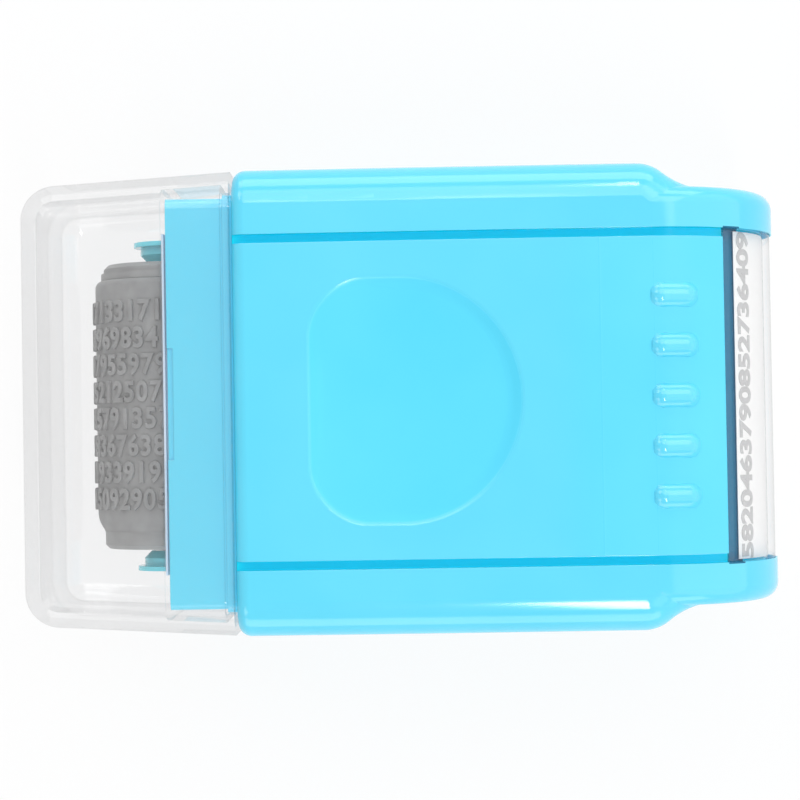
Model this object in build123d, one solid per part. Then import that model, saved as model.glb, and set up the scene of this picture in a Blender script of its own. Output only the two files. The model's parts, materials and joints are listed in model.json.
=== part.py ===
from build123d import *
from math import asin, cos, degrees, pi, radians, sin, sqrt, tan
import os

# A privacy roller stamp lying on its flat back, with its window at +X and its
# stamp roller under a clear cap at -X. X runs along it, Y across it, Z up.
# The origin is on the resting plane, at the middle of the length and width.
# Lengths are millimetres and angles are degrees.

# Body
body_length = 68.3
body_width = 57.5
body_thickness = 34.0
front_drop = 1.1
body_edge_radius = 4.4
mouth_edge_radius = 1.6
shell_wall = 2.0
mouth_wall = 2.4
seam_width = 0.3
seam_depth = 0.25

# Shoulders, where the sides draw in towards the nose
shoulder_start = 18.5
shoulder_step = 3.1
shoulder_turn = 40.0
shoulder_crown_extra = 0.6
nose_edge_radius = 2.1
nose_block_length = 24.0

# Raised panel between two grooves
cheek_width = 8.25
groove_width = 1.1
groove_depth = 1.0
panel_end_setback = 8.15
panel_end_wall = 1.8

# Thumb hollow, a D that points at the nose
hollow_side_margin = 4.85
hollow_length_share = 0.8775
hollow_depth = 1.3
hollow_from_mouth = 8.95
hollow_corner_share = 0.245
hollow_cup_share = 0.586
hollow_draft = 66.0
hollow_floor_radius = 2.5
hollow_rim_radius = 1.2
hollow_rim_depth = 0.25

# Grip nubs near the nose
nub_count = 5
nub_length = 5.8
nub_width = 2.95
nub_height = 0.75
nub_side_margin = 6.26
nub_ahead = 2.55

# Window lens and the label behind it
lens_recess = 0.3
lens_thickness = 0.9
lens_slot_depth = 0.95
lens_gap = 0.1
label_thickness = 0.3
label_gap = 0.1
label_seat_gap = 0.05
label_setback = 1.65
label_side_gap = 0.25
label_seat_wall = 1.6

# Bosses that hold the two shells together
boss_radius = 2.6
boss_pin_radius = 1.2
boss_pin_length = 4.0
boss_pin_gap = 0.05
boss_from_side = 4.4
boss_from_mouth = 13.0
boss_from_shoulder = 7.0

# Guide ribs for the cartridge
guide_rib_width = 1.4
guide_rib_spacing = 26.0
guide_gap = 0.3

# Cap
cap_length = 26.2
cap_gap = 0.3
cap_inset = 0.1
cap_taper = 3.2
cap_wall = 1.5
cap_edge_radius = 4.4
cap_step = 0.35
cap_step_ahead = 0.5
cap_lip_length = 1.2
cap_lip_gap = 0.3

# Neck sleeve of the cartridge
neck_step = 3.35
neck_wall = 1.6
neck_corner_radius = 1.2
neck_reach = 8.35
neck_inside = 6.0
neck_gap = 0.25
collar_height = 0.4
collar_length = 1.2
collar_gap = 0.1
notch_width = 13.8
notch_depth = 0.7
notch_height = 0.5
front_rim_reach = 0.6
front_rim_width = 0.3
front_rim_height = 1.2
front_rim_web = 0.4

# Stamp roller
stamp_set_in = 6.45
relief_height = 0.4
stamp_ahead = 0.75
print_wall = 3.4
print_corner_radius = 0.9
print_taper_length = 2.4
print_taper_drop = 0.8
relief_rows = 8
relief_margin = 2.48
relief_row_gap = 0.68
glyph_count = 10
stroke_start_shares = (0.0, 0.42)
stroke_width_shares = (0.24, 0.36, 0.28, 0.2, 0.32)
left_hub_length = 2.0
left_hub_drop = 1.15
left_hub_ring_drop = 0.35
left_hub_ring_length = 0.9
right_hub_length = 2.2
right_hub_drop = 1.3
hub_corner_chamfer = 0.5
core_gap = 0.05
stamp_axle_radius = 1.5
axle_gap = 0.05

# Ink roller
ink_radius_share = 0.7
ink_gap = 0.3
ink_core_share = 0.5714
ink_axle_radius = 1.2
ink_flange_length = 1.3
ink_flange_drop = 1.0

# Roller bracket, with its arms and ink tank
arm_from_side = 7.75
arm_thickness = 2.5
arm_gap = 0.4
arm_tip_radius = 3.75
arm_lip_thickness = 0.6
arm_lip_height = 0.85
arm_chamfer = 0.9
bracket_gap = 0.1
roller_room = 0.9
tank_wall = 1.4
tank_room = 1.9
tank_length = 12.0
lid_flange = 1.2
lid_plug_depth = 1.5
lid_gap = 0.1
felt_gap = 0.4
felt_wrap = 3.0
felt_trough_sides = 8

# Filler plug
filler_radius = 2.5
filler_head_radius = 3.8
filler_head_length = 1.3
filler_tip_length = 2.0
filler_gap = 0.08

# One overrun for every cut that leaves a piece
cut_over = 2.0

# Heights and rollers
mid_z = body_thickness / 2
mouth_thickness = body_thickness - front_drop
axle_z = mouth_thickness / 2
stamp_radius = axle_z - stamp_set_in
print_bore_radius = stamp_radius - print_wall
ink_radius = ink_radius_share * stamp_radius
ink_core_radius = ink_core_share * ink_radius

# Stations along X
whole_length = body_length + cap_gap + cap_length
nose_x = whole_length / 2
mouth_x = nose_x - body_length
cap_rim_x = mouth_x - cap_gap
cap_end_x = cap_rim_x - cap_length
nose_radius = body_thickness / 2
nose_axis_x = nose_x - nose_radius
panel_end_x = nose_x - panel_end_setback
neck_front_x = mouth_x - neck_reach
neck_back_x = mouth_x + neck_inside
stamp_x = neck_front_x - stamp_ahead
ink_x = stamp_x + stamp_radius + ink_gap + ink_radius
tank_front_x = stamp_x + stamp_radius + roller_room
tank_back_x = ink_x + ink_radius + tank_length

# Half widths, and what follows from them
half_width = body_width / 2
groove_spacing = body_width - 2 * cheek_width - groove_width
groove_outer_y = half_width - cheek_width
hollow_width = groove_spacing - 2 * hollow_side_margin
hollow_length = hollow_length_share * hollow_width
hollow_corner_radius = hollow_corner_share * hollow_width
hollow_cup_reach = hollow_cup_share * hollow_width
nub_pitch = (groove_spacing - 2 * nub_side_margin - nub_width) / (nub_count - 1)
neck_width = body_width - 2 * neck_step
neck_thickness = mouth_thickness - 2 * neck_step
arm_outer_y = half_width - arm_from_side
arm_inner_y = arm_outer_y - arm_thickness
roller_half_length = arm_inner_y - arm_gap
print_length = 2 * roller_half_length - left_hub_length - right_hub_length
relief_row_pitch = (print_length - 2 * relief_margin) / relief_rows
relief_row_width = relief_row_pitch - relief_row_gap
tank_half_height = ink_radius + tank_room + tank_wall
lens_outer_radius = nose_radius - lens_recess
lens_inner_radius = lens_outer_radius - lens_thickness
label_outer_radius = lens_inner_radius - label_gap
label_inner_radius = label_outer_radius - label_thickness
label_seat_radius = label_inner_radius - label_seat_gap
label_seat_inner_radius = label_seat_radius - label_seat_wall
front_arc_run = nose_axis_x - mouth_x
front_arc_radius = (front_arc_run ** 2 + front_drop ** 2) / (2 * front_drop)


def box(x_min, x_max, y_min, y_max, z_min, z_max):
    """A plain block between the given sides."""
    block = Box(x_max - x_min, y_max - y_min, z_max - z_min)
    return Pos((x_min + x_max) / 2, (y_min + y_max) / 2, (z_min + z_max) / 2) * block


def rod(radius, y_min, y_max, x, z):
    """A cylinder along Y between two side stations."""
    turned = Rot(-90, 0, 0) * Cylinder(radius, y_max - y_min)
    return Pos(x, (y_min + y_max) / 2, z) * turned


def tube(outer, inner, y_min, y_max, x, z):
    """A round sleeve along Y."""
    return rod(outer, y_min, y_max, x, z) - rod(inner, y_min - cut_over, y_max + cut_over, x, z)


def polar(centre, radius, angle):
    """A point at an angle on a circle."""
    return (centre[0] + radius * cos(radians(angle)), centre[1] + radius * sin(radians(angle)))


def front_height(x, inset):
    """Height of the gently bowed front face, drawn in by inset."""
    rise = sqrt((front_arc_radius - inset) ** 2 - (nose_axis_x - x) ** 2)
    return body_thickness - front_arc_radius + rise


def side_face(inset, start_x):
    """The body seen from its side: flat back, bowed front and full-round nose."""
    radius = nose_radius - inset
    middle_x = (start_x + nose_axis_x) / 2
    top = (nose_axis_x, body_thickness - inset)
    with BuildSketch(Plane.XZ) as sketch:
        with BuildLine():
            Line((start_x, inset), (nose_axis_x, inset))
            ThreePointArc((nose_axis_x, inset), (nose_axis_x + radius, mid_z), top)
            ThreePointArc(top, (middle_x, front_height(middle_x, inset)), (start_x, front_height(start_x, inset)))
            Line((start_x, front_height(start_x, inset)), (start_x, inset))
        make_face()
    return sketch.sketch


def side_slab(inset, start_x, y_min, y_max):
    """The side view extruded between two side stations."""
    slab = extrude(side_face(inset, start_x), amount=(y_max - y_min) / 2, both=True)
    return Pos(0, (y_min + y_max) / 2, 0) * slab


def plan_slab(inset, start_x):
    """The body seen from above, with its S-shaped shoulders."""
    crown_radius = body_edge_radius + shoulder_crown_extra
    hollow_radius = shoulder_step / (1 - cos(radians(shoulder_turn))) - crown_radius
    turn_x = nose_x - shoulder_start
    crown = (turn_x, half_width - crown_radius)
    hollow = polar(crown, crown_radius + hollow_radius, 90 - shoulder_turn)
    side_y = half_width - inset
    inner = crown_radius - inset
    outer = hollow_radius + inset
    end = polar(hollow, outer, 270)
    with BuildSketch(Plane.XY) as sketch:
        with BuildLine():
            Line((start_x, 0), (start_x, side_y))
            Line((start_x, side_y), (turn_x, side_y))
            ThreePointArc((turn_x, side_y), polar(crown, inner, 90 - shoulder_turn / 2),
                          polar(crown, inner, 90 - shoulder_turn))
            ThreePointArc(polar(hollow, outer, 270 - shoulder_turn),
                          polar(hollow, outer, 270 - shoulder_turn / 2), end)
            Line(end, (nose_x + cut_over, end[1]))
            Line((nose_x + cut_over, end[1]), (nose_x + cut_over, 0))
            mirror(about=Plane.XZ)
        make_face()
    return extrude(sketch.sketch, amount=body_thickness)


def body_form(inset, start_x):
    """The rounded body drawn in by inset, from start_x to the nose."""
    form = (plan_slab(inset, start_x) & side_slab(inset, start_x, -half_width, half_width)).solid()
    side_edges = [edge for edge in form.edges()
                  if edge.center().X > start_x + cut_over / 2 and abs(edge.center().Y) > groove_outer_y]
    return fillet(side_edges, body_edge_radius - inset)


def nose_block():
    """The narrower end of the body, whose edges are tighter than the shoulders'."""
    half = half_width - shoulder_step
    block = side_slab(0, nose_x - nose_block_length, -half, half)
    side_edges = [edge for edge in block.edges()
                  if edge.center().X > nose_x - nose_block_length + cut_over / 2
                  and abs(edge.center().Y) > half - cut_over / 2]
    return fillet(side_edges, nose_edge_radius)


def outer_form():
    """The whole outside, with its softened mouth edge and thumb hollows."""
    form = body_form(0, mouth_x)
    rim = form.faces().sort_by(Axis.X)[0].edges()
    form = fillet(rim, mouth_edge_radius)
    form -= hollow_place(hollow_tool())
    form -= hollow_back_place(hollow_tool())
    form = fillet(hollow_rim_edges(form), hollow_rim_radius)
    return form + nose_block()


def cavity_form():
    """The room inside the shells, ending at the label seat."""
    room = body_form(shell_wall, mouth_x + mouth_wall)
    wall_x = panel_end_x - panel_end_wall
    before_nose = box(mouth_x, wall_x, -half_width, half_width, -cut_over, body_thickness + cut_over)
    round_end = rod(label_seat_inner_radius, -half_width, half_width, nose_axis_x, mid_z)
    return room & (before_nose + round_end)


def hollow_outline():
    """The D of the thumb hollow, about its middle."""
    back_x = -hollow_length / 2
    side_y = hollow_width / 2
    edge_y = side_y - hollow_corner_radius
    corner_x = back_x + hollow_corner_radius
    round_x = hollow_length / 2 - side_y
    with BuildSketch(Plane.XY) as sketch:
        with BuildLine():
            Line((back_x, 0), (back_x, edge_y))
            ThreePointArc((back_x, edge_y), polar((corner_x, edge_y), hollow_corner_radius, 135),
                          (corner_x, side_y))
            Line((corner_x, side_y), (round_x, side_y))
            ThreePointArc((round_x, side_y), polar((round_x, 0), side_y, 45), (hollow_length / 2, 0))
            mirror(about=Plane.XZ)
        make_face()
    return sketch.sketch


def hollow_tool():
    """The scoop of the thumb hollow: a shallow ball cup held inside the D."""
    cup_radius = (hollow_cup_reach ** 2 + hollow_depth ** 2) / (2 * hollow_depth)
    walls = extrude(hollow_outline(), amount=2 * hollow_depth, dir=(0, 0, -1), taper=hollow_draft)
    ball = Pos(0, 0, cup_radius - hollow_depth) * Rot(90, 0, 0) * Sphere(cup_radius)
    scoop = (walls & ball).solid()
    return fillet(scoop.faces().sort_by(Axis.Z)[0].edges(), hollow_floor_radius)


def hollow_pad():
    """The thicker wall that backs the scoop on the inside."""
    depth = hollow_depth + shell_wall
    return Pos(0, 0, -depth) * extrude(hollow_outline(), amount=depth)


def hollow_rim_edges(form):
    """The edges of the scoops where they meet the front and the back."""
    middle_x = mouth_x + hollow_from_mouth + hollow_length / 2
    edges = []
    for edge in form.edges():
        place = edge.center()
        if abs(place.X - middle_x) > hollow_length / 2 + hollow_rim_depth:
            continue
        if abs(place.Y) > hollow_width / 2 + hollow_rim_depth:
            continue
        if place.Z < hollow_rim_depth or place.Z > front_height(place.X, 0) - hollow_rim_depth:
            edges.append(edge)
    return edges


def hollow_place(tool):
    """Set a scoop on the bowed front face."""
    middle_x = mouth_x + hollow_from_mouth + hollow_length / 2
    tilt = degrees(asin((nose_axis_x - middle_x) / front_arc_radius))
    return Pos(middle_x, 0, front_height(middle_x, 0)) * Rot(0, -tilt, 0) * tool


def hollow_back_place(tool):
    """Set a scoop on the flat back."""
    middle_x = mouth_x + hollow_from_mouth + hollow_length / 2
    return Pos(middle_x, 0, 0) * Rot(180, 0, 0) * tool


def groove_cut(side):
    """The groove on one side of the panel, front and back."""
    y = side * groove_spacing / 2
    y_min = y - groove_width / 2
    y_max = y + groove_width / 2
    outside = box(mouth_x - cut_over, panel_end_x, y_min, y_max, -cut_over, body_thickness + cut_over)
    inside = side_slab(groove_depth, mouth_x - 2 * cut_over, y_min - cut_over, y_max + cut_over)
    return outside - inside


def window_cut():
    """The open nose between the cheeks, with the slots that trap the lens."""
    beyond = box(panel_end_x, nose_x + cut_over, -half_width, half_width, -cut_over, body_thickness + cut_over)
    opening_y = groove_outer_y
    slot_y = opening_y + lens_slot_depth
    opening = tube(nose_radius + cut_over, label_seat_radius, -opening_y, opening_y, nose_axis_x, mid_z)
    slot = tube(lens_outer_radius + lens_gap, lens_inner_radius - lens_gap, -slot_y, slot_y, nose_axis_x, mid_z)
    return (opening + slot) & beyond


def mouth_cut():
    """The rounded opening that the neck sleeve slides through."""
    return neck_block(mouth_x - cut_over, mouth_x + mouth_wall + cut_over, neck_gap)


def seam_cut():
    """A fine line round the outside where the two shells meet."""
    slab = box(mouth_x - cut_over, nose_x + cut_over, -half_width - cut_over, half_width + cut_over,
               mid_z - seam_width / 2, mid_z + seam_width / 2)
    core = plan_slab(seam_depth, mouth_x - 2 * cut_over) & side_slab(seam_depth, mouth_x - 2 * cut_over,
                                                                     -half_width, half_width)
    return slab - core


def boss_places():
    """Middles of the four bosses, as X and Y."""
    y = half_width - boss_from_side
    near_x = mouth_x + boss_from_mouth
    far_x = nose_x - shoulder_start - boss_from_shoulder
    return [(x, side * y) for x in (near_x, far_x) for side in (-1, 1)]


def guide_ribs(low_z, high_z):
    """Two ribs that the ink tank slides along."""
    ribs = Part()
    for side in (-1, 1):
        y = side * guide_rib_spacing / 2
        ribs += box(neck_back_x + guide_gap, tank_back_x, y - guide_rib_width / 2, y + guide_rib_width / 2,
                    low_z, high_z)
    return ribs


def nubs():
    """The row of domed grip nubs, each half sunk in the start of the nose."""
    dome_radius = (nub_width ** 2 / 4 + nub_height ** 2) / (2 * nub_height)
    straight = nub_length - nub_width
    dome = Rot(0, 90, 0) * Cylinder(dome_radius, straight)
    for side in (-1, 1):
        dome += Pos(side * straight / 2, 0, 0) * Sphere(dome_radius)
    dome &= Pos(0, 0, dome_radius) * Box(nub_length, nub_width, 2 * nub_width)
    tilt = degrees(asin(nub_ahead / nose_radius))
    row = []
    for index in range(nub_count):
        y = (index - (nub_count - 1) / 2) * nub_pitch
        stand = Pos(0, y, nose_radius + nub_height - dome_radius)
        row.append(Pos(nose_axis_x, 0, mid_z) * Rot(0, tilt, 0) * stand * dome)
    return row


def neck_block(x_min, x_max, grow):
    """A rounded block along X with the neck's section, grown by a gap."""
    section = RectangleRounded(neck_width + 2 * grow, neck_thickness + 2 * grow, neck_corner_radius + grow)
    solid = extrude(Plane.YZ * section, amount=x_max - x_min)
    return Pos(x_min, 0, axle_z) * solid


def shell_body():
    """Both shells in one, before they are parted at the middle."""
    body = outer_form() - cavity_form()
    inside = body_form(shell_wall / 2, mouth_x)
    inside -= hollow_place(hollow_tool())
    inside -= hollow_back_place(hollow_tool())
    body += hollow_place(hollow_pad()) & inside
    body += hollow_back_place(hollow_pad()) & inside
    body -= mouth_cut()
    body -= window_cut()
    for side in (-1, 1):
        body -= groove_cut(side)
    return body - seam_cut()


def front_shell(body):
    """The upper shell, with the nubs, pins and ribs."""
    upper = box(mouth_x - cut_over, nose_x + cut_over, -half_width, half_width, mid_z, body_thickness + cut_over)
    room = cavity_form()
    shell = body & upper
    inside = guide_ribs(axle_z + tank_half_height + guide_gap, body_thickness)
    for x, y in boss_places():
        inside += Pos(x, y, (mid_z + body_thickness) / 2) * Cylinder(boss_radius, body_thickness - mid_z)
    shell += inside & room & upper
    for x, y in boss_places():
        shell += Pos(x, y, mid_z) * Cylinder(boss_pin_radius, 2 * boss_pin_length)
    return shell + nubs()


def back_shell(body):
    """The lower shell, with sockets for the pins."""
    lower = box(mouth_x - cut_over, nose_x + cut_over, -half_width, half_width, -cut_over, mid_z)
    room = cavity_form()
    shell = body & lower
    inside = guide_ribs(0, axle_z - tank_half_height - guide_gap)
    for x, y in boss_places():
        inside += Pos(x, y, mid_z / 2) * Cylinder(boss_radius, mid_z)
    shell += inside & room & lower
    for x, y in boss_places():
        socket = Cylinder(boss_pin_radius + boss_pin_gap, 2 * (boss_pin_length + guide_gap))
        shell -= Pos(x, y, mid_z) * socket
    return shell


def window_lens():
    """The clear cover bent round the nose."""
    y = groove_outer_y + lens_slot_depth - lens_gap
    beyond = box(panel_end_x + lens_gap, nose_x + cut_over, -y, y, 0, body_thickness)
    return tube(lens_outer_radius, lens_inner_radius, -y, y, nose_axis_x, mid_z) & beyond


def window_label():
    """The printed strip that lies on its seat behind the lens."""
    y = groove_outer_y - label_side_gap
    beyond = box(panel_end_x + label_setback, nose_x, -y, y, 0, body_thickness)
    return tube(label_outer_radius, label_inner_radius, -y, y, nose_axis_x, mid_z) & beyond


def cap_form(inset, start_x):
    """The tapered cap drawn in by inset, closed and rounded at its end."""
    draw_in = tan(radians(cap_taper)) * (cap_rim_x - start_x) + cap_inset + inset
    mouth = Rectangle(mouth_thickness - 2 * draw_in, body_width - 2 * draw_in)
    section = Pos(start_x, 0, axle_z) * (Plane.ZY * mouth)
    form = extrude(section, amount=start_x - cap_end_x - inset, dir=(-1, 0, 0), taper=cap_taper)
    rounded = [edge for edge in form.edges() if edge.center().X < start_x - cut_over / 2]
    return fillet(rounded, cap_edge_radius - inset)


def clear_cap():
    """The clear cap, with an inner step at the neck and a lip that grips the collar."""
    step_x = neck_front_x - cap_step_ahead
    lip_x = cap_rim_x - cap_lip_length
    shell = cap_form(0, cap_rim_x)
    shell -= cap_form(cap_wall + cap_step, step_x + cut_over)
    beside_neck = box(step_x, lip_x, -half_width, half_width, -cut_over, body_thickness)
    shell -= cap_form(cap_wall, lip_x + cut_over) & beside_neck
    return shell - neck_block(lip_x - cut_over, cap_rim_x + cut_over, collar_height + cap_lip_gap)


def neck_sleeve():
    """The box that the cap slides over, with its collar, front wall and the rims of its window."""
    sleeve = neck_block(neck_front_x, neck_back_x, 0)
    collar_x = mouth_x - collar_gap
    sleeve += neck_block(collar_x - collar_length, collar_x, collar_height)
    hollow_y = neck_width / 2 - neck_wall
    hollow_z = neck_thickness / 2 - neck_wall
    sleeve -= box(neck_front_x + neck_wall, neck_back_x + cut_over, -hollow_y, hollow_y,
                  axle_z - hollow_z, axle_z + hollow_z)
    window_y = arm_outer_y + bracket_gap
    window_z = stamp_radius + roller_room
    sleeve -= box(neck_front_x - cut_over, neck_front_x + 2 * neck_wall, -window_y, window_y,
                  axle_z - window_z, axle_z + window_z)
    top_z = axle_z + neck_thickness / 2
    sleeve -= box(neck_front_x - cut_over, neck_front_x + notch_depth, -notch_width / 2, notch_width / 2,
                  top_z - notch_height, top_z + cut_over)
    rim_x = neck_front_x - front_rim_reach
    rim_z = axle_z + window_z
    rim = box(rim_x, neck_front_x, -window_y, window_y, rim_z, rim_z + front_rim_height)
    rim -= box(rim_x + front_rim_width, neck_front_x, -half_width, half_width,
               rim_z + front_rim_web, rim_z + 2 * front_rim_height)
    return sleeve + rim + mirror(rim, about=Plane.XY.offset(axle_z))


def bracket_side(side):
    """One side plate with its arm, lip and axle holes."""
    y_min = min(side * arm_inner_y, side * arm_outer_y)
    y_max = max(side * arm_inner_y, side * arm_outer_y)
    plate_z = neck_thickness / 2 - neck_wall - bracket_gap
    plate_x = neck_front_x + neck_wall + bracket_gap
    plate = box(plate_x, neck_back_x, y_min, y_max, axle_z - plate_z, axle_z + plate_z)
    plate += box(neck_back_x, tank_back_x, y_min, y_max, axle_z - tank_half_height, axle_z + tank_half_height)
    arm = box(stamp_x, plate_x, y_min, y_max, axle_z - arm_tip_radius, axle_z + arm_tip_radius)
    arm += rod(arm_tip_radius, y_min, y_max, stamp_x, axle_z)
    inner_face = arm.faces().sort_by(Axis.Y)[0 if side > 0 else -1]
    tip = [edge for edge in inner_face.edges() if edge.center().X < stamp_x]
    arm = chamfer(tip, arm_chamfer)
    lip_y = side * (arm_outer_y - arm_lip_thickness)
    lip = rod(arm_tip_radius + arm_lip_height, min(lip_y, side * arm_outer_y), max(lip_y, side * arm_outer_y),
              stamp_x, axle_z)
    lip &= box(stamp_x - 2 * arm_tip_radius, stamp_x, -half_width, half_width, 0, body_thickness)
    plate += arm + lip
    y_from = -half_width if side < 0 else 0
    y_to = 0 if side < 0 else half_width
    plate -= rod(stamp_axle_radius + axle_gap, y_from, y_to, stamp_x, axle_z)
    return plate - rod(ink_axle_radius + axle_gap, y_from, y_to, ink_x, axle_z)


def roller_bracket():
    """Two arms that hold the rollers, joined by the walls of the ink tank."""
    bracket = bracket_side(-1) + bracket_side(1)
    inner_z = tank_half_height - tank_wall
    for side in (-1, 1):
        z_min = axle_z + min(side * inner_z, side * tank_half_height)
        z_max = axle_z + max(side * inner_z, side * tank_half_height)
        bracket += box(tank_front_x, tank_back_x, -arm_inner_y, arm_inner_y, z_min, z_max)
    return bracket


def tank_lid():
    """The stepped plate that closes the tank, with the filler hole."""
    inner_z = tank_half_height - tank_wall - lid_gap
    inner_y = arm_inner_y - lid_gap
    lid = box(tank_back_x, tank_back_x + lid_flange, -arm_outer_y, arm_outer_y,
              axle_z - tank_half_height, axle_z + tank_half_height)
    lid += box(tank_back_x - lid_plug_depth, tank_back_x, -inner_y, inner_y, axle_z - inner_z, axle_z + inner_z)
    hole = Rot(0, 90, 0) * Cylinder(filler_radius + filler_gap, 2 * (lid_flange + lid_plug_depth + cut_over))
    return lid - Pos(tank_back_x, 0, axle_z) * hole


def ink_felt():
    """The felt block that feeds the ink roller, troughed to lie round it."""
    block_z = tank_half_height - tank_wall - felt_gap
    block_y = arm_inner_y - felt_gap
    front_x = ink_x + ink_radius - felt_wrap
    back_x = tank_back_x - lid_plug_depth - filler_tip_length - felt_gap
    block = box(front_x, back_x, -block_y, block_y, axle_z - block_z, axle_z + block_z)
    trough = RegularPolygon(ink_radius + ink_gap, felt_trough_sides, major_radius=False,
                            rotation=180 / felt_trough_sides)
    return block - Pos(ink_x, 0, axle_z) * extrude(Plane.XZ * trough, amount=half_width, both=True)


def filler_plug():
    """The stopper of the filler hole."""
    stem_length = lid_flange + lid_plug_depth + filler_tip_length / 2
    stem = Cylinder(filler_radius, stem_length, align=(Align.CENTER, Align.CENTER, Align.MAX))
    stem = chamfer(stem.faces().sort_by(Axis.Z)[0].edges(), filler_radius - filler_gap - filler_radius / 2)
    head = Cylinder(filler_head_radius, filler_head_length, align=(Align.CENTER, Align.CENTER, Align.MIN))
    head = chamfer(head.faces().sort_by(Axis.Z)[-1].edges(), filler_head_length / 3)
    return Pos(tank_back_x + lid_flange, 0, axle_z) * Rot(0, 90, 0) * (stem + head)


def ring_of_revolution(points, x, z):
    """A body turned about the Y axis from radius and Y pairs."""
    with BuildSketch(Plane.XY) as sketch:
        with BuildLine():
            Polyline(*points, close=True)
        make_face()
    return Pos(x, 0, z) * revolve(sketch.sketch, Axis.Y)


def relief_row(index, base_radius):
    """One row of raised strokes, outlined as a toothed wheel."""
    pitch = 360 / glyph_count
    turn = pitch * index / relief_rows
    centre = (0, 0)
    stroke_count = len(stroke_start_shares)
    starts = []
    for glyph in range(glyph_count + 1):
        starts += [turn + pitch * (glyph + share) for share in stroke_start_shares]
    outline = []
    for place in range(glyph_count * stroke_count):
        choice = (3 * place + index * (place // stroke_count)) % len(stroke_width_shares)
        start = starts[place]
        stop = start + pitch * stroke_width_shares[choice]
        after = starts[place + 1]
        outline.append(Line(polar(centre, base_radius, start), polar(centre, stamp_radius, start)))
        outline.append(ThreePointArc(polar(centre, stamp_radius, start),
                                     polar(centre, stamp_radius, (start + stop) / 2),
                                     polar(centre, stamp_radius, stop)))
        outline.append(Line(polar(centre, stamp_radius, stop), polar(centre, base_radius, stop)))
        outline.append(ThreePointArc(polar(centre, base_radius, stop),
                                     polar(centre, base_radius, (stop + after) / 2),
                                     polar(centre, base_radius, after)))
    wheel = Face(Wire(outline)) - Circle(print_bore_radius)
    return extrude(wheel, amount=relief_row_width / 2, both=True)


def print_sleeve(left_y, right_y):
    """The rubber sleeve with its rows of raised strokes."""
    base = stamp_radius - relief_height
    sleeve = ring_of_revolution([(print_bore_radius, right_y), (base - print_taper_drop, right_y),
                                 (base, right_y + print_taper_length), (base, left_y - print_corner_radius),
                                 (base - print_corner_radius, left_y), (print_bore_radius, left_y)], 0, 0)
    first_y = (left_y + right_y) / 2 + relief_row_pitch * (relief_rows - 1) / 2
    rows = []
    for index in range(relief_rows):
        row = Rot(-90, 0, 0) * relief_row(index, base)
        rows.append(Pos(0, first_y - index * relief_row_pitch, 0) * row)
    return Pos(stamp_x, 0, axle_z) * (sleeve + rows)


def left_hub(inner_y, outer_y):
    """The larger end hub, with a fine ring step."""
    bore = stamp_axle_radius + core_gap
    hub_radius = stamp_radius - left_hub_drop
    ring_radius = hub_radius - left_hub_ring_drop
    return ring_of_revolution([(bore, inner_y), (hub_radius, inner_y),
                               (hub_radius, inner_y + left_hub_ring_length),
                               (ring_radius, inner_y + left_hub_ring_length),
                               (ring_radius, outer_y - hub_corner_chamfer),
                               (ring_radius - hub_corner_chamfer, outer_y), (bore, outer_y)], stamp_x, axle_z)


def right_hub(inner_y, outer_y):
    """The smaller end hub, rounded off at its outer edge."""
    bore = stamp_axle_radius + core_gap
    hub_radius = stamp_radius - right_hub_drop
    return ring_of_revolution([(bore, inner_y), (hub_radius, inner_y),
                               (hub_radius, outer_y + hub_corner_chamfer),
                               (hub_radius - hub_corner_chamfer, outer_y), (bore, outer_y)], stamp_x, axle_z)


def build_rollers(parts):
    """Both rollers, each turning on its own axle."""
    right_end = -roller_half_length
    right_y = right_end + right_hub_length
    left_y = right_y + print_length
    axle_y = arm_outer_y - arm_lip_thickness / 2
    parts["stamp_axle"] = rod(stamp_axle_radius, -axle_y, axle_y, stamp_x, axle_z)
    parts["stamp_core"] = tube(print_bore_radius - core_gap, stamp_axle_radius + core_gap, right_y, left_y,
                               stamp_x, axle_z)
    parts["print_sleeve"] = print_sleeve(left_y, right_y)
    parts["left_hub"] = left_hub(left_y, roller_half_length)
    parts["right_hub"] = right_hub(right_y, right_end)
    foam_y = print_length / 2
    flange_y = foam_y + ink_flange_length
    flange_radius = ink_radius - ink_flange_drop
    bore = ink_axle_radius + core_gap
    parts["ink_axle"] = rod(ink_axle_radius, -axle_y, axle_y, ink_x, axle_z)
    parts["ink_core"] = tube(ink_core_radius, bore, -foam_y, foam_y, ink_x, axle_z)
    parts["ink_foam"] = tube(ink_radius, ink_core_radius + core_gap, -foam_y, foam_y, ink_x, axle_z)
    parts["left_ink_flange"] = tube(flange_radius, bore, foam_y, flange_y, ink_x, axle_z)
    parts["right_ink_flange"] = tube(flange_radius, bore, -flange_y, -foam_y, ink_x, axle_z)


def build():
    """Every piece of the stamp, by name."""
    parts = {}
    body = shell_body()
    parts["front_shell"] = front_shell(body)
    parts["back_shell"] = back_shell(body)
    parts["window_lens"] = window_lens()
    parts["window_label"] = window_label()
    parts["neck_sleeve"] = neck_sleeve()
    parts["roller_bracket"] = roller_bracket()
    parts["tank_lid"] = tank_lid()
    parts["ink_felt"] = ink_felt()
    parts["filler_plug"] = filler_plug()
    parts["clear_cap"] = clear_cap()
    build_rollers(parts)
    return parts


os.makedirs("parts", exist_ok=True)
for name, shape in build().items():
    export_step(shape, f"parts/{name}.step")
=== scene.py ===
import json
import math

import bmesh
import bpy
from mathutils import Matrix, Vector
from mathutils.noise import noise as noise_at


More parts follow.
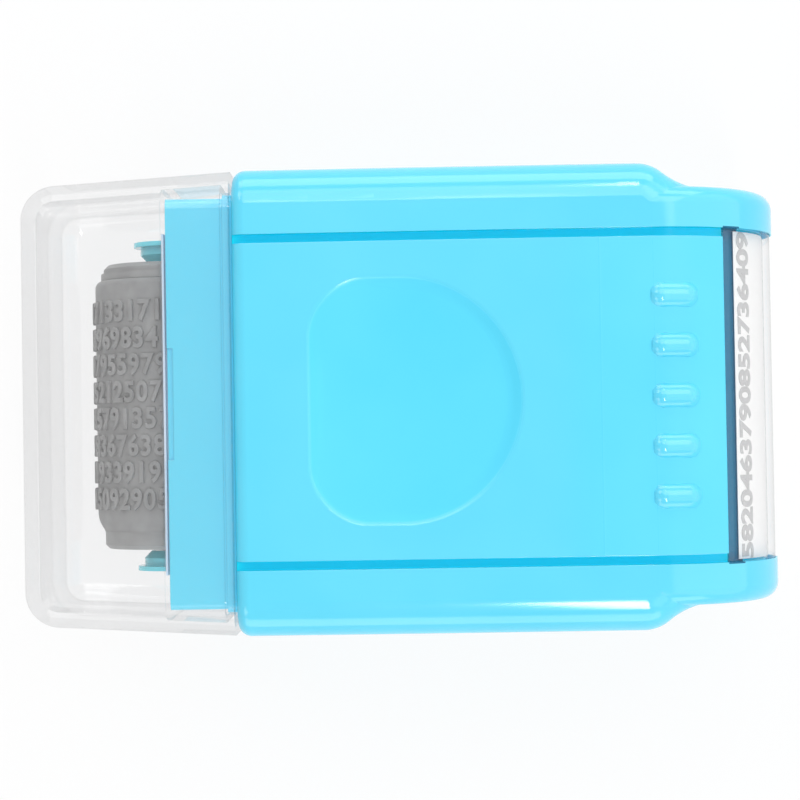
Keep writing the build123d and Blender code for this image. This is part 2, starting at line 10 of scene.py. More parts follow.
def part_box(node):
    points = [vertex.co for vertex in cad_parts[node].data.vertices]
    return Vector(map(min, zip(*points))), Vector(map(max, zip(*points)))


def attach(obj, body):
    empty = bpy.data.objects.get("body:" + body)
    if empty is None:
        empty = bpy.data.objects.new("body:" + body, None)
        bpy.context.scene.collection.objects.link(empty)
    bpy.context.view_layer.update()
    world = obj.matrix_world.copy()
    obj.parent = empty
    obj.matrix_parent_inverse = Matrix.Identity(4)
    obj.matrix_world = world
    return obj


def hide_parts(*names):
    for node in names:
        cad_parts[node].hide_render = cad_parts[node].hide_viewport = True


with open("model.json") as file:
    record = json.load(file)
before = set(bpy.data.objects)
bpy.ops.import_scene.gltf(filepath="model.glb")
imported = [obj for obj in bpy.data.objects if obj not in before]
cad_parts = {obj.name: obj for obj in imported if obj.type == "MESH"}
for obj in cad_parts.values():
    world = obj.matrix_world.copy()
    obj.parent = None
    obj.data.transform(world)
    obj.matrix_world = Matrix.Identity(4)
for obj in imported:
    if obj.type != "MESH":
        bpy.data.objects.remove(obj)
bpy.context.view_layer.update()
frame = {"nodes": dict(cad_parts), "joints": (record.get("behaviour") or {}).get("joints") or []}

# The clear, blue and grey finishes of a roller stamp, seen from above through a
# long lens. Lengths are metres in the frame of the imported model.

MM = 0.001
NODES = frame["nodes"]
NECK_FRONT_X = -29.25 * MM
NOSE_AXIS_X = 30.4 * MM
BODY_THICKNESS = 34 * MM
FRONT_ARC_RADIUS = 1196.8 * MM
UPPER_PART_Z = 20 * MM
RELIEF_HEIGHT = 0.4 * MM
LABEL_RADIUS = 15.7 * MM
FOAM_BORE = 4 * MM
FOAM_ROUND_OVER = 0.9 * MM


def joint_place(name):
    """The rest position of a hinge."""
    for joint in frame["joints"]:
        if joint["name"] == name:
            return Vector(joint["pos_m"])


def srgb(red, green, blue):
    """A linear colour from the 0 to 255 values that it should show as."""
    linear = []
    for value in (red, green, blue):
        share = value / 255
        linear.append(share / 12.92 if share <= 0.04045 else ((share + 0.055) / 1.055) ** 2.4)
    return (*linear, 1.0)


# Camera

def make_camera():
    """A long lens nearly straight above, leaning a little to the image's lower side."""
    focal_pixels = 2253
    image_pixels = 800
    sensor = 36.0
    distance = 290 * MM
    foot_y = -5.8 * MM
    roll = math.radians(-0.96)
    aim = Vector((-0.6 * MM, 0.3 * MM, 17 * MM))
    data = bpy.data.cameras.new("photo_camera")
    data.sensor_width = sensor
    data.lens = focal_pixels * sensor / image_pixels
    data.clip_start = 0.01
    camera = bpy.data.objects.new("photo_camera", data)
    bpy.context.scene.collection.objects.link(camera)
    camera.location = aim + Vector((0, foot_y, distance))
    look = (aim - camera.location).to_track_quat("-Z", "Y")
    camera.rotation_mode = "QUATERNION"
    camera.rotation_quaternion = look @ Matrix.Rotation(roll, 3, "Z").to_quaternion()
    bpy.context.scene.camera = camera


# Materials

class Nodes:
    """A short way to add to a node tree."""

    def __init__(self, tree):
        self.tree = tree

    def add(self, kind, **settings):
        node = self.tree.nodes.new(kind)
        for key, value in settings.items():
            setattr(node, key, value)
        return node

    def link(self, output, place):
        self.tree.links.new(output, place)


class MaterialNodes(Nodes):
    """The tree of a new material, empty but for its output."""

    def __init__(self, name):
        self.material = bpy.data.materials.new(name)
        self.material.use_nodes = True
        super().__init__(self.material.node_tree)
        self.tree.nodes.clear()
        self.out = self.add("ShaderNodeOutputMaterial")


def principled(nodes, **values):
    """A Principled shader with its plain numbers set on its sockets."""
    shader = nodes.add("ShaderNodeBsdfPrincipled")
    for name, value in values.items():
        shader.inputs[name.replace("_", " ")].default_value = value
    nodes.link(shader.outputs["BSDF"], nodes.out.inputs["Surface"])
    return shader


def noise(nodes, scale, detail, roughness=0.5):
    """Noise in the object's own metres."""
    place = nodes.add("ShaderNodeTexCoord")
    texture = nodes.add("ShaderNodeTexNoise")
    texture.inputs["Scale"].default_value = scale
    texture.inputs["Detail"].default_value = detail
    texture.inputs["Roughness"].default_value = roughness
    nodes.link(place.outputs["Object"], texture.inputs["Vector"])
    return texture.outputs["Fac"]


def ramp(nodes, factor, low, high, stops=(0.35, 0.65)):
    """A two-colour ramp over a factor."""
    node = nodes.add("ShaderNodeValToRGB")
    node.color_ramp.elements[0].position = stops[0]
    node.color_ramp.elements[1].position = stops[1]
    node.color_ramp.elements[0].color = low
    node.color_ramp.elements[1].color = high
    nodes.link(factor, node.inputs["Fac"])
    return node.outputs["Color"]


def bump(nodes, shader, height, strength, distance):
    """A bump on a shader's normal."""
    node = nodes.add("ShaderNodeBump")
    node.inputs["Strength"].default_value = strength
    node.inputs["Distance"].default_value = distance
    nodes.link(height, node.inputs["Height"])
    nodes.link(node.outputs["Normal"], shader.inputs["Normal"])


def combine(nodes, operation, first, second=None):
    """A maths node over one or two values, each a socket or a plain number."""
    node = nodes.add("ShaderNodeMath", operation=operation)
    for place, value in enumerate((first, second)):
        if isinstance(value, (int, float)):
            node.inputs[place].default_value = value
        elif value is not None:
            nodes.link(value, node.inputs[place])
    return node.outputs[0]


def blend(nodes, factor, low, high):
    """A number that runs from low to high with a factor."""
    node = nodes.add("ShaderNodeMapRange")
    node.inputs["To Min"].default_value = low
    node.inputs["To Max"].default_value = high
    nodes.link(factor, node.inputs["Value"])
    return node.outputs["Result"]


def fade(nodes, value, low, high, top=1.0):
    """A smooth rise from zero at one coordinate to its top at another."""
    rise = nodes.add("ShaderNodeMapRange", interpolation_type="SMOOTHSTEP")
    rise.inputs["From Min"].default_value = low
    rise.inputs["From Max"].default_value = high
    rise.inputs["To Max"].default_value = top
    nodes.link(value, rise.inputs["Value"])
    return rise.outputs["Result"]


def band(nodes, value, low, high):
    """One inside a band of a coordinate and zero outside it."""
    above = combine(nodes, "GREATER_THAN", value, low)
    below = combine(nodes, "LESS_THAN", value, high)
    return combine(nodes, "MULTIPLY", above, below)


def area(nodes, *bands):
    """One where all bands hold."""
    inside = bands[0]
    for other in bands[1:]:
        inside = combine(nodes, "MULTIPLY", inside, other)
    return inside


def place_parts(nodes):
    """The object's own X, Y and Z in metres."""
    place = nodes.add("ShaderNodeTexCoord")
    parts = nodes.add("ShaderNodeSeparateXYZ")
    nodes.link(place.outputs["Object"], parts.inputs[0])
    return parts.outputs


# Places of the colour sockets on a Mix node
MIX_COLOUR_A = 6
MIX_COLOUR_B = 7
MIX_COLOUR_OUT = 2


def colour_where(nodes, mask, inside, outside):
    """One colour where a mask is set and another elsewhere, each a socket or a plain colour."""
    mix = nodes.add("ShaderNodeMix", data_type="RGBA")
    nodes.link(mask, mix.inputs["Factor"])
    for place, colour in ((MIX_COLOUR_A, outside), (MIX_COLOUR_B, inside)):
        if isinstance(colour, tuple):
            mix.inputs[place].default_value = colour
        else:
            nodes.link(colour, mix.inputs[place])
    return mix.outputs[MIX_COLOUR_OUT]


CAP_TINT = (0.99, 0.99, 0.991, 1)
CAP_EDGE_TINT = (0.965, 0.965, 0.967, 1)
CAP_HAZE = 0.01
CAP_SHINE = 0.04
LENS_TINT = (0.998, 0.998, 0.998, 1)
LENS_EDGE_TINT = (0.996, 0.996, 0.997, 1)
LENS_HAZE = 0.0
LENS_SHINE = 0.018
SKY_BLUE = (srgb(87, 219, 251), srgb(93, 222, 253))
# Painted light: the neck's blue, a little lighter than the shell's to make up for light lost through the
# clear cap.
NECK_BLUE_PAINTED_LIGHTER = (srgb(88, 223, 254), srgb(94, 226, 255))
# Painted light: the bracket's blue, lighter than the shell's to make up for the shade it sits in under the
# clear cap.
BRACKET_BLUE_PAINTED_LIGHTER = (srgb(118, 238, 255), srgb(124, 241, 255))
# Painted shade: a deeper blue for the grooves, and a dark blue painted shadow for the ledge behind the label.
GROOVE_PAINTED_SHADE = srgb(0, 226, 253)
LEDGE_PAINTED_SHADOW = srgb(14, 113, 149)
# A painted highlight: near-white on the rims ahead of the neck, where the light catches them.
RIM_PAINTED_HIGHLIGHT = srgb(226, 236, 252)

GLOSSY_ROUGHNESS = 0.12
SILKY_ROUGHNESS = 0.62
FULL_SHINE = 0.5
DEEP_SHINE = 0.15
SILKY_DULLNESS = 0.7


def blue_plastic(name, tones, painted_light_marks=None, soft=None):
    """Glossy sky-blue moulding, its edges softly broken, with a faint orange-peel.

    A function for painted light gives a mask with its painted colour and shine, and one for soft places gives
    a mask.
    """
    nodes = MaterialNodes(name)
    shader = principled(nodes, Roughness=GLOSSY_ROUGHNESS, IOR=1.65)
    colour = ramp(nodes, noise(nodes, scale=60, detail=2), *tones)
    silky = soft(nodes) if soft else None
    if painted_light_marks:
        # Painted shade or a painted highlight replaces the moulding's colour inside the mask.
        mask, painted_tone, shine = painted_light_marks(nodes)
        colour = colour_where(nodes, mask, painted_tone, colour)
        if soft:
            mask = combine(nodes, "MAXIMUM", mask, combine(nodes, "MULTIPLY", silky, SILKY_DULLNESS))
        nodes.link(blend(nodes, mask, FULL_SHINE, shine), shader.inputs["Specular IOR Level"])
    if soft:
        nodes.link(blend(nodes, silky, GLOSSY_ROUGHNESS, SILKY_ROUGHNESS), shader.inputs["Roughness"])
    nodes.link(colour, shader.inputs["Base Color"])
    rounded = nodes.add("ShaderNodeBevel")
    rounded.samples = 6
    rounded.inputs["Radius"].default_value = 0.14 * MM
    peel = nodes.add("ShaderNodeBump")
    peel.inputs["Strength"].default_value = 0.03
    peel.inputs["Distance"].default_value = 0.03 * MM
    nodes.link(noise(nodes, scale=900, detail=3), peel.inputs["Height"])
    nodes.link(rounded.outputs["Normal"], peel.inputs["Normal"])
    nodes.link(peel.outputs["Normal"], shader.inputs["Normal"])
    return nodes.material


def upper_part(nodes, place):
    """One on the upper shell, from a little above the parting line to the front face."""
    return band(nodes, place["Z"], UPPER_PART_Z, BODY_THICKNESS)


def shell_painted_shade(nodes):
    """Painted shade: a deeper blue in the grooves beside the panel, and a dark painted shadow on the ledge
    that the label is seen behind.
    """
    groove_middle, groove_half = 19.95 * MM, 0.56 * MM
    ledge_start, ledge_end = 39.28 * MM, 41.5 * MM
    ledge_half = 20.7 * MM
    place = place_parts(nodes)
    side = combine(nodes, "ABSOLUTE", place["Y"])
    groove = band(nodes, side, groove_middle - groove_half, groove_middle + groove_half)
    ledge_x = band(nodes, place["X"], ledge_start, ledge_end)
    ledge_y = band(nodes, place["Y"], -ledge_half, ledge_half)
    ledge = area(nodes, ledge_x, ledge_y, upper_part(nodes, place))
    # The ledge's painted shadow and the grooves' painted shade take the place of the shell's blue.
    painted_shade_tone = colour_where(nodes, ledge, LEDGE_PAINTED_SHADOW, GROOVE_PAINTED_SHADE)
    return combine(nodes, "MAXIMUM", groove, ledge), painted_shade_tone, DEEP_SHINE


def below_front(nodes, place):
    """How far a point lies below the shell's gently bowed front face."""
    back = combine(nodes, "SUBTRACT", NOSE_AXIS_X, place["X"])
    face = nodes.add("ShaderNodeMath", operation="MULTIPLY_ADD")
    face.inputs[1].default_value = -1 / (2 * FRONT_ARC_RADIUS)
    face.inputs[2].default_value = BODY_THICKNESS
    nodes.link(combine(nodes, "MULTIPLY", back, back), face.inputs[0])
    return combine(nodes, "SUBTRACT", face.outputs[0], place["Z"])


def silky_places(nodes):
    """The thumb hollow and the end of the panel that carries the nubs, moulded with a silkier finish."""
    hollow_half, hollow_start, hollow_end = 15.5 * MM, -12.5 * MM, 15.5 * MM
    hollow_rim, hollow_wall = 0.015 * MM, 0.2 * MM
    panel_half, panel_fade_start, panel_fade_end = 19.3 * MM, 17 * MM, 27 * MM
    nub_silkiness = 0.4
    place = place_parts(nodes)
    upper = upper_part(nodes, place)
    across = band(nodes, place["Y"], -hollow_half, hollow_half)
    along = band(nodes, place["X"], hollow_start, hollow_end)
    sunk = fade(nodes, below_front(nodes, place), hollow_rim, hollow_wall)
    hollow = area(nodes, across, along, upper, sunk)
    panel_across = band(nodes, place["Y"], -panel_half, panel_half)
    panel_along = fade(nodes, place["X"], panel_fade_start, panel_fade_end, nub_silkiness)
    return combine(nodes, "MAXIMUM", hollow, area(nodes, panel_across, upper, panel_along))


def rim_painted_highlight(nodes):
    """A painted highlight: the pale edge of the rims that stand ahead of the neck."""
    reach, inset = 1 * MM, 0.1 * MM
    rim = band(nodes, place_parts(nodes)["X"], NECK_FRONT_X - reach, NECK_FRONT_X - inset)
    return rim, RIM_PAINTED_HIGHLIGHT, FULL_SHINE


def clear_plastic(name, tint, edge_tint, haze, least_shine):
    """Thin clear moulding with a faint haze, tinted a little more where it is seen edge-on."""
    nodes = MaterialNodes(name)
    edge_shine, edge_power = 0.9, 5.0
    facing = nodes.add("ShaderNodeLayerWeight")
    facing.inputs["Blend"].default_value = 0.5
    shade = ramp(nodes, facing.outputs["Facing"], tint, edge_tint, stops=(0.2, 0.9))
    through = nodes.add("ShaderNodeBsdfTransparent")
    nodes.link(shade, through.inputs["Color"])
    cloud = nodes.add("ShaderNodeBsdfDiffuse")
    cloud.inputs["Color"].default_value = (0.95, 0.95, 0.95, 1)
    body = nodes.add("ShaderNodeMixShader")
    body.inputs["Fac"].default_value = haze
    nodes.link(through.outputs["BSDF"], body.inputs[1])
    nodes.link(cloud.outputs["BSDF"], body.inputs[2])
    gloss = nodes.add("ShaderNodeBsdfGlossy")
    gloss.inputs["Roughness"].default_value = 0.05
    ripple = nodes.add("ShaderNodeBump")
    ripple.inputs["Strength"].default_value = 0.03
    ripple.inputs["Distance"].default_value = 0.05 * MM
    nodes.link(noise(nodes, scale=120, detail=2), ripple.inputs["Height"])
    nodes.link(ripple.outputs["Normal"], gloss.inputs["Normal"])
    grazing = combine(nodes, "POWER", facing.outputs["Facing"], edge_power)
    mix = nodes.add("ShaderNodeMixShader")
    nodes.link(blend(nodes, grazing, least_shine, edge_shine), mix.inputs["Fac"])
    nodes.link(body.outputs[0], mix.inputs[1])
    nodes.link(gloss.outputs["BSDF"], mix.inputs[2])
    nodes.link(mix.outputs[0], nodes.out.inputs["Surface"])
    return nodes.material


def grey_rubber():
    """Matt grey print rubber with a fine grain."""
    nodes = MaterialNodes("print_rubber")
    shader = principled(nodes, Roughness=0.62, IOR=1.45)
    colour = ramp(nodes, noise(nodes, scale=400, detail=4), srgb(146, 146, 146), srgb(160, 160, 160))
    nodes.link(colour, shader.inputs["Base Color"])
    bump(nodes, shader, noise(nodes, scale=3000, detail=4), strength=0.2, distance=0.04 * MM)
    return nodes.material


def moulded_grey(name, low, high, roughness):
    """Plain moulded grey plastic."""
    nodes = MaterialNodes(name)
    shader = principled(nodes, Roughness=roughness, IOR=1.46)
    colour = ramp(nodes, noise(nodes, scale=300, detail=3), low, high)
    nodes.link(colour, shader.inputs["Base Color"])
    bump(nodes, shader, noise(nodes, scale=1500, detail=3), strength=0.12, distance=0.04 * MM)
    return nodes.material


def inked_foam(name, scale):
    """Open-pored dark foam or felt, wet with ink."""
    nodes = MaterialNodes(name)
    shader = principled(nodes, Roughness=0.75, IOR=1.4)
    place = nodes.add("ShaderNodeTexCoord")
    cells = nodes.add("ShaderNodeTexVoronoi")
    cells.inputs["Scale"].default_value = scale
    nodes.link(place.outputs["Object"], cells.inputs["Vector"])
    colour = ramp(nodes, cells.outputs["Distance"], srgb(14, 14, 18), srgb(46, 46, 52), stops=(0.1, 0.7))
    nodes.link(colour, shader.inputs["Base Color"])
    bump(nodes, shader, cells.outputs["Distance"], strength=0.6, distance=0.2 * MM)
    return nodes.material


def ground_steel():
    """Steel pin with fine turning marks round its axis."""
    nodes = MaterialNodes("ground_steel")
    across, along = 40, 4000
    shader = principled(nodes, Metallic=1.0, Roughness=0.25)
    place = nodes.add("ShaderNodeTexCoord")
    stretch = nodes.add("ShaderNodeMapping")
    stretch.inputs["Scale"].default_value = (across, along, across)
    nodes.link(place.outputs["Object"], stretch.inputs["Vector"])
    marks = nodes.add("ShaderNodeTexNoise")
    marks.inputs["Scale"].default_value = 1.0
    nodes.link(stretch.outputs["Vector"], marks.inputs["Vector"])
    colour = ramp(nodes, marks.outputs["Fac"], srgb(176, 178, 182), srgb(205, 207, 210))
    nodes.link(colour, shader.inputs["Base Color"])
    bump(nodes, shader, marks.outputs["Fac"], strength=0.15, distance=0.02 * MM)
    return nodes.material


def label_stock():
    """White printed film, nearly smooth."""
    nodes = MaterialNodes("label_stock")
    shader = principled(nodes, Roughness=0.5, IOR=1.45)
    colour = ramp(nodes, noise(nodes, scale=800, detail=4), srgb(250, 250, 250), srgb(252, 252, 252))
    nodes.link(colour, shader.inputs["Base Color"])
    bump(nodes, shader, noise(nodes, scale=2500, detail=3), strength=0.08, distance=0.03 * MM)
    return nodes.material


def label_ink():
    """The grey of the printed sample marks."""
    nodes = MaterialNodes("label_ink")
    shader = principled(nodes, Roughness=0.6)
    colour = ramp(nodes, noise(nodes, scale=4000, detail=3), srgb(196, 196, 197), srgb(206, 206, 207))
    nodes.link(colour, shader.inputs["Base Color"])
    return nodes.material


def paint(name, material):
    """Give a CAD node one material."""
    mesh = NODES[name].data
    mesh.materials.clear()
    mesh.materials.append(material)


# Numbers

def number_mesh(text, height, thickness, edge, spacing=1.0, resolution=3, weight=0.02):
    """A flat row of plain numbers, its middle at the origin, as a bmesh in metres."""
    digit_height_share = 0.7
    data = bpy.data.curves.new("numbers", "FONT")
    data.body = text
    data.align_x = "CENTER"
    data.size = height / digit_height_share
    data.offset = weight * height
    data.space_character = spacing
    data.extrude = thickness / 2 - edge
    data.bevel_depth = edge
    data.bevel_resolution = 0
    data.resolution_u = resolution
    holder = bpy.data.objects.new("numbers", data)
    bpy.context.scene.collection.objects.link(holder)
    bpy.context.view_layer.update()
    flat = bpy.data.meshes.new_from_object(holder.evaluated_get(bpy.context.evaluated_depsgraph_get()))
    mesh = bmesh.new()
    mesh.from_mesh(flat)
    bpy.data.objects.remove(holder)
    bpy.data.curves.remove(data)
    bpy.data.meshes.remove(flat)
    low = min(vert.co.y for vert in mesh.verts)
    high = max(vert.co.y for vert in mesh.verts)
    for vert in mesh.verts:
        vert.co.y -= (low + high) / 2
    return mesh


def finish_mesh(name, mesh, material):
    """A Blender object from a bmesh, cleaned and given one material."""
    merge_distance, sharp_angle = 0.0001 * MM, 35
    bmesh.ops.remove_doubles(mesh, verts=mesh.verts, dist=merge_distance)
    bmesh.ops.recalc_face_normals(mesh, faces=mesh.faces)
    data = bpy.data.meshes.new(name)
    mesh.to_mesh(data)
    mesh.free()
    data.materials.append(material)
    data.shade_smooth()
    data.set_sharp_from_angle(angle=math.radians(sharp_angle))
    piece = bpy.data.objects.new(name, data)
    bpy.context.scene.collection.objects.link(piece)
    return piece


# Stage

def seen_directly(nodes):
    """One for rays from the camera, off gloss or through clear plastic, and zero for the rest."""
    path = nodes.add("ShaderNodeLightPath")
    seen = combine(nodes, "MAXIMUM", path.outputs["Is Camera Ray"], path.outputs["Is Glossy Ray"])
    return combine(nodes, "MAXIMUM", seen, path.outputs["Is Transmission Ray"])


def make_stage():
    """A white floor that keeps a faint shadow."""
    glow_share = 0.88
    half = 3.0
    nodes = MaterialNodes("white_floor")
    diffuse = nodes.add("ShaderNodeBsdfDiffuse")
    diffuse.inputs["Color"].default_value = (0.97, 0.97, 0.97, 1)
    glow = nodes.add("ShaderNodeEmission")
    glow.inputs["Strength"].default_value = 1.0
    mix = nodes.add("ShaderNodeMixShader")
    nodes.link(combine(nodes, "MULTIPLY", seen_directly(nodes), glow_share), mix.inputs["Fac"])
    nodes.link(diffuse.outputs[0], mix.inputs[1])
    nodes.link(glow.outputs[0], mix.inputs[2])
    nodes.link(mix.outputs[0], nodes.out.inputs["Surface"])
    data = bpy.data.meshes.new("floor")
    corners = [(-half, -half, 0), (half, -half, 0), (half, half, 0), (-half, half, 0)]
    data.from_pydata(corners, [], [(0, 1, 2, 3)])
    data.materials.append(nodes.material)
    floor = bpy.data.objects.new("floor", data)
    bpy.context.scene.collection.objects.link(floor)


def lamp(name, azimuth, off_vertical, size, power):
    """A soft rectangular lamp one metre from the object and aimed at it."""
    distance = 1.0
    data = bpy.data.lights.new(name, "AREA")
    data.shape = "RECTANGLE"
    data.size, data.size_y = size
    data.energy = power
    light = bpy.data.objects.new(name, data)
    bpy.context.scene.collection.objects.link(light)
    turn, tilt = math.radians(azimuth), math.radians(off_vertical)
    away = Vector((math.sin(tilt) * math.cos(turn), math.sin(tilt) * math.sin(turn), math.cos(tilt)))
    target = Vector((0, 0, BODY_THICKNESS / 2))
    light.location = target + away * distance
    light.rotation_mode = "QUATERNION"
    light.rotation_quaternion = (target - light.location).to_track_quat("-Z", "Y")


def make_lamps():
    """Soft lamps all round."""
    lamp("lower_strip", azimuth=-76, off_vertical=32, size=(0.1, 0.45), power=2.3)
    lamp("overhead_panel", azimuth=100, off_vertical=14, size=(0.25, 0.14), power=0.2)
    lamp("upper_softbox", azimuth=76, off_vertical=29, size=(0.9, 0.6), power=2.4)
    lamp("upper_glint_lamp", azimuth=79.8, off_vertical=46, size=(0.016, 0.2), power=0.3)
    lamp("nose_softbox", azimuth=4, off_vertical=64, size=(2.0, 2.0), power=8.6)
    lamp("upper_side_softbox", azimuth=90, off_vertical=76, size=(1.4, 0.5), power=4.2)
    lamp("lower_side_softbox", azimuth=-90, off_vertical=76, size=(1.4, 0.5), power=3.4)
    lamp("left_lower_softbox", azimuth=-140, off_vertical=52, size=(0.4, 0.4), power=0.95)
    lamp("left_upper_softbox", azimuth=140, off_vertical=50, size=(0.4, 0.4), power=1.25)


def make_surround():
    """A surround that shows white to the camera and in gloss, and lights the object dimly."""
    dim, white = 0.18, 1.0
    world = bpy.data.worlds.new("surround")
    world.use_nodes = True
    nodes = Nodes(world.node_tree)
    background = world.node_tree.nodes["Background"]
    background.inputs["Color"].default_value = (1, 1, 1, 1)
    nodes.link(blend(nodes, seen_directly(nodes), dim, white), background.inputs["Strength"])
    bpy.context.scene.world = world


# Pieces made here in place of plain CAD solids

def lathe(name, profile, centre, material):
    """A body turned about the Y axis from (radius, y) pairs, the first and last joined."""
    steps = 128
    mesh = bmesh.new()
    rings = []
    for step in range(steps):
        turn = 2 * math.pi * step / steps
        ring = []
        for radius, y in profile:
            corner = Vector((centre.x + radius * math.cos(turn), y, centre.z + radius * math.sin(turn)))
            ring.append(mesh.verts.new(corner))
        rings.append(ring)
    for step, ring in enumerate(rings):
        after = rings[(step + 1) % steps]
        for here in range(len(profile)):
            there = (here + 1) % len(profile)
            mesh.faces.new((ring[here], after[here], after[there], ring[there]))
    return finish_mesh(name, mesh, material)


def node_span(node):
    """The lowest and highest corners of a CAD node."""
    low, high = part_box(node)
    return Vector(low), Vector(high)


def print_sleeve_profile(outer, low_y, high_y):
    """The sleeve's half section: a long soft taper at one end and a rounded corner at the other."""
    bore = 6.6 * MM
    base = outer - RELIEF_HEIGHT
    corner = 0.9 * MM
    taper_depth, taper_start, taper_length = 0.8 * MM, 0.15 * MM, 2.25 * MM
    steps = 6
    points = [(bore, low_y), (base - taper_depth, low_y)]
    for step in range(steps + 1):
        share = step / steps
        points.append((base - taper_depth * (1 - share) ** 2, low_y + taper_start + taper_length * share))
    for step in range(steps + 1):
        turn = math.pi / 2 * step / steps
        points.append((base - corner + corner * math.cos(turn), high_y - corner + corner * math.sin(turn)))
    points.append((bore, high_y))
    return points


def relief_text(row, count):
    """The plain numbers of one row."""
    return "".join(str((7 * place + 3 * row + place * place * (row + 2)) % 10) for place in range(count))


def make_print_sleeve(material):
    """The rubber sleeve with eight rows of raised numbers round it."""
    rows, pitch, count = 8, 3.38 * MM, 34
    number_height, number_thickness, number_edge, number_spacing = 2.5 * MM, 0.46 * MM, 0.09 * MM, 1.12
    row_turn, seam_gap_digits = 0.07, 0.5
    low, high = node_span("print_sleeve")
    centre = joint_place("stamp_spin")
    outer = (high.z - low.z) / 2
    sleeve = lathe("print_relief_sleeve", print_sleeve_profile(outer, low.y, high.y), centre, material)
    middle_y = (low.y + high.y) / 2
    relief = bmesh.new()
    for row in range(rows):
        y = middle_y + pitch * (row - (rows - 1) / 2)
        text = relief_text(row, count)
        mesh = number_mesh(text, number_height, number_thickness, number_edge, number_spacing)
        half = max(abs(vert.co.x) for vert in mesh.verts)
        for vert in mesh.verts:
            turn = math.pi * vert.co.x / (half * (count + seam_gap_digits) / count) + row * row_turn
            radius = outer - number_thickness / 2 + vert.co.z
            x = centre.x - radius * math.cos(turn)
            vert.co = Vector((x, y + vert.co.y, centre.z + radius * math.sin(turn)))
        data = bpy.data.meshes.new("row")
        mesh.to_mesh(data)
        mesh.free()
        relief.from_mesh(data)
        bpy.data.meshes.remove(data)
    raised = finish_mesh("print_relief_numbers", relief, material)
    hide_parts("print_sleeve")
    for piece in (sleeve, raised):
        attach(piece, "stamp_roller")


def ink_foam_profile(outer, low_y, high_y):
    """The foam's half section, with both ends rounded over."""
    corner_steps, straight_steps = 8, 60
    corner = []
    for step in range(corner_steps + 1):
        turn = math.pi / 2 * step / corner_steps
        inset = FOAM_ROUND_OVER * (1 - math.cos(turn))
        corner.append((outer - FOAM_ROUND_OVER * (1 - math.sin(turn)), inset))
    start = low_y + FOAM_ROUND_OVER
    span = high_y - low_y - 2 * FOAM_ROUND_OVER
    points = [(FOAM_BORE, low_y)]
    points += [(radius, low_y + inset) for radius, inset in corner]
    points += [(outer, start + span * step / straight_steps) for step in range(1, straight_steps)]
    points += [(radius, high_y - inset) for radius, inset in reversed(corner)]
    return points + [(FOAM_BORE, high_y)]


def pit_share(place, scale):
    """How deep an uneven skin is pitted at one place, from none to all of its depth."""
    return max(0.0, min(1.0, 0.5 + 0.5 * noise_at(place * scale)))


def make_ink_foam(material):
    """The foam sleeve of the ink roller, its ends rounded over and its skin uneven."""
    pit_depth, pit_scale = 0.09 * MM, 900.0
    low, high = node_span("ink_foam")
    centre = joint_place("ink_spin")
    outer = (high.z - low.z) / 2
    foam = lathe("ink_foam_sleeve", ink_foam_profile(outer, low.y, high.y), centre, material)
    for vert in foam.data.vertices:
        away = Vector((vert.co.x - centre.x, 0, vert.co.z - centre.z))
        if away.length > FOAM_BORE + FOAM_ROUND_OVER:
            vert.co -= away.normalized() * pit_depth * pit_share(vert.co, pit_scale)
    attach(foam, "ink_roller")
    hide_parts("ink_foam")


def make_ink_felt(material):
    """The felt block behind the ink roller, with softened edges and a fibrous skin."""
    fuzz_depth, fuzz_scale = 0.08 * MM, 1400.0
    source = NODES["ink_felt"]
    felt = bpy.data.objects.new("ink_felt_block", source.data.copy())
    felt.matrix_world = source.matrix_world.copy()
    bpy.context.scene.collection.objects.link(felt)
    remesh = felt.modifiers.new("even_faces", "REMESH")
    remesh.mode = "VOXEL"
    remesh.voxel_size = 0.5 * MM
    soft = felt.modifiers.new("soft_edges", "SMOOTH")
    soft.factor = 0.5
    soft.iterations = 4
    bpy.context.view_layer.update()
    shaped = bpy.data.meshes.new_from_object(felt.evaluated_get(bpy.context.evaluated_depsgraph_get()))
    felt.modifiers.clear()
    felt.data = shaped
    for vert in shaped.vertices:
        vert.co -= vert.normal * fuzz_depth * pit_share(vert.co, fuzz_scale)
    shaped.materials.clear()
    shaped.materials.append(material)
    shaped.shade_smooth()
    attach(felt, "cartridge")
    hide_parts("ink_felt")


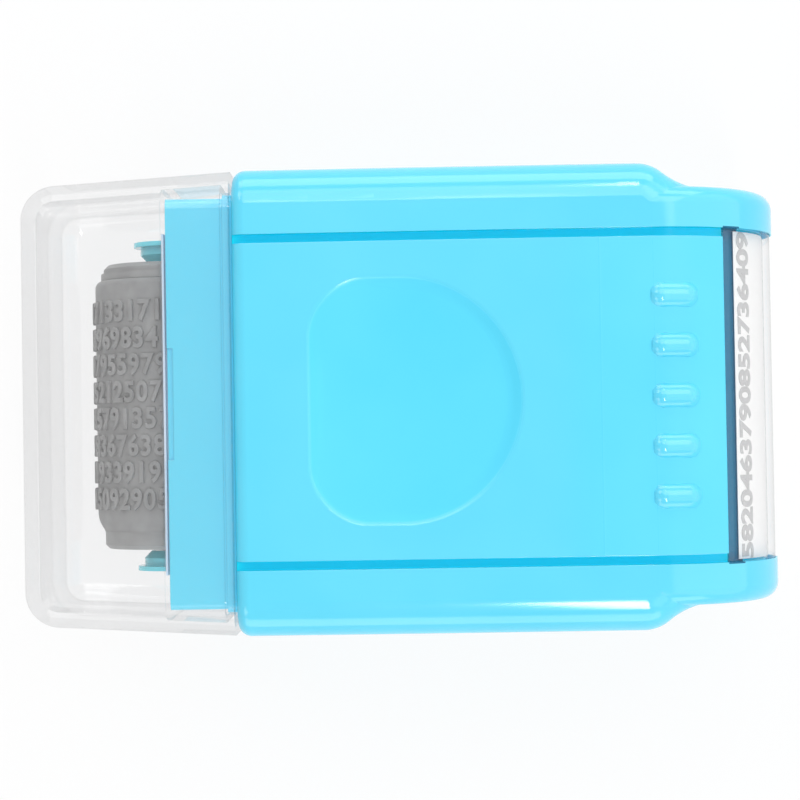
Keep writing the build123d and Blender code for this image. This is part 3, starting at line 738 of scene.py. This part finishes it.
def make_label_numbers(material):
    """The printed row of grey numbers on the label's front edge."""
    low, high = node_span("window_label")
    text = "5820463790852736409"
    number_height, number_thickness = 2.4 * MM, 0.06 * MM
    edge_gap = 0.75 * MM
    radius = LABEL_RADIUS + number_thickness / 2
    nose_axis = Vector((high.x - LABEL_RADIUS, 0, BODY_THICKNESS / 2))
    start = math.acos((low.x - nose_axis.x) / radius)
    mesh = number_mesh(text, number_height, number_thickness, edge=0.0, resolution=6, weight=0.05)
    half = max(abs(vert.co.x) for vert in mesh.verts)
    stretch = (high.y - low.y) / 2 / half
    for vert in mesh.verts:
        along = vert.co.x * stretch
        turn = start - (edge_gap + number_height / 2 - vert.co.y) / radius
        reach = radius + vert.co.z
        vert.co = Vector((nose_axis.x + reach * math.cos(turn), along, nose_axis.z + reach * math.sin(turn)))
    numbers = finish_mesh("label_numbers", mesh, material)
    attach(numbers, "housing")


# The scene

bpy.context.scene.view_settings.view_transform = "Standard"
bpy.context.scene.cycles.transparent_max_bounces = 32
make_camera()
make_stage()
make_lamps()
make_surround()

# The shell's grooves carry painted shade and the ledge behind the label a painted shadow.
shell_blue = blue_plastic("shell_blue", SKY_BLUE, shell_painted_shade, silky_places)
for shell in ("front_shell", "back_shell"):
    paint(shell, shell_blue)
# The neck's blue is painted a little lighter, and its front rims carry a painted highlight.
paint("neck_sleeve", blue_plastic("neck_blue_lightened", NECK_BLUE_PAINTED_LIGHTER, rim_painted_highlight))
# The bracket and lid blue is painted lighter to stand in for light.
bracket_blue_lightened = blue_plastic("bracket_blue_lightened", BRACKET_BLUE_PAINTED_LIGHTER)
for piece in ("roller_bracket", "tank_lid"):
    paint(piece, bracket_blue_lightened)
paint("clear_cap", clear_plastic("cap_plastic", CAP_TINT, CAP_EDGE_TINT, CAP_HAZE, CAP_SHINE))
paint("window_lens", clear_plastic("lens_plastic", LENS_TINT, LENS_EDGE_TINT, LENS_HAZE, LENS_SHINE))
paint("window_label", label_stock())
make_print_sleeve(grey_rubber())
make_label_numbers(label_ink())
hub_plastic = moulded_grey("hub_plastic", srgb(150, 150, 150), srgb(164, 164, 164), roughness=0.5)
for grey_node in ("left_hub", "right_hub", "stamp_core", "ink_core", "left_ink_flange", "right_ink_flange"):
    paint(grey_node, hub_plastic)
plug_plastic = moulded_grey("plug_plastic", srgb(120, 120, 124), srgb(134, 134, 138), roughness=0.55)
paint("filler_plug", plug_plastic)
make_ink_foam(inked_foam("ink_foam_pores", scale=2500))
make_ink_felt(inked_foam("ink_felt_fibres", scale=4000))
steel = ground_steel()
paint("stamp_axle", steel)
paint("ink_axle", steel)
